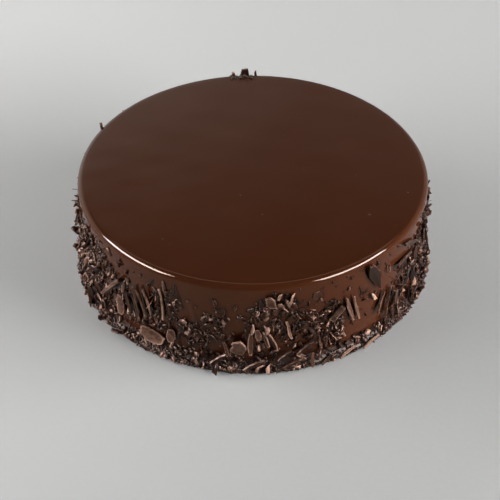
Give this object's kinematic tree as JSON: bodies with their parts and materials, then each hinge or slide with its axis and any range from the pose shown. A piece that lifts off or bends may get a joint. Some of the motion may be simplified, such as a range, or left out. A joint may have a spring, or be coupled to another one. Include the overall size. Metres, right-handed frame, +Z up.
{
  "type": "chocolate glazed cake",
  "caption": "Round sachertorte-style cake under a smooth dark chocolate glaze, its side coated with dark chocolate shavings.",
  "frame": {"origin": "centre of the cake's foot, on the face it rests on", "axes": "+Z up; the side that faces the viewer in the picture is -Y, its right is +X"},
  "size_m": [0.2162, 0.2166, 0.0625],
  "materials": {
    "glaze": "poured dark chocolate glaze, glossy, almost flat on top",
    "shavings": "shaved dark chocolate, dull with faint grain"
  },
  "bodies": {
    "root": {"blade_front_1": "shavings", "blade_front_2": "shavings", "chunk_left_high": "shavings", "chunk_left_low": "shavings", "chunk_right_high": "shavings", "chunk_right_low": "shavings", "dagger_left_1": "shavings", "dagger_left_2": "shavings", "dagger_left_3": "shavings", "dagger_left_4": "shavings", "flat_right_1": "shavings", "flat_right_2": "shavings", "flat_right_3": "shavings", "foot_long_1": "shavings", "foot_long_2": "shavings", "foot_long_3": "shavings", "foot_long_4": "shavings", "foot_lump_left": "shavings", "foot_stick_1": "shavings", "foot_stick_2": "shavings", "foot_stick_3": "shavings", "foot_stick_4": "shavings", "glazed_cake": "glaze", "leaf_right": "shavings", "needle_left": "shavings", "pillar_right": "shavings", "plate_front": "shavings", "plate_high_front": "shavings", "plate_left": "shavings", "plate_left_front": "shavings", "plate_low_left": "shavings", "prong_front": "shavings", "rear_plate_11": "shavings", "rear_plate_3": "shavings", "rear_plate_7": "shavings", "rear_plate_8": "shavings", "rear_shard_5": "shavings", "rear_shard_6": "shavings", "rear_shard_9": "shavings", "rear_stick_1": "shavings", "rear_stick_10": "shavings", "rear_stick_2": "shavings", "rear_stick_4": "shavings", "ribbed_right": "shavings", "rim_rear_block": "shavings", "rod_front": "shavings", "roll_left": "shavings", "shield_front": "shavings", "slab_right_1": "shavings", "slab_right_2": "shavings", "slab_right_3": "shavings", "slab_right_4": "shavings", "slab_right_5": "shavings", "sliver_front": "shavings", "twin_right_1": "shavings", "twin_right_2": "shavings", "upright_front": "shavings"}
  },
  "joints": []
}
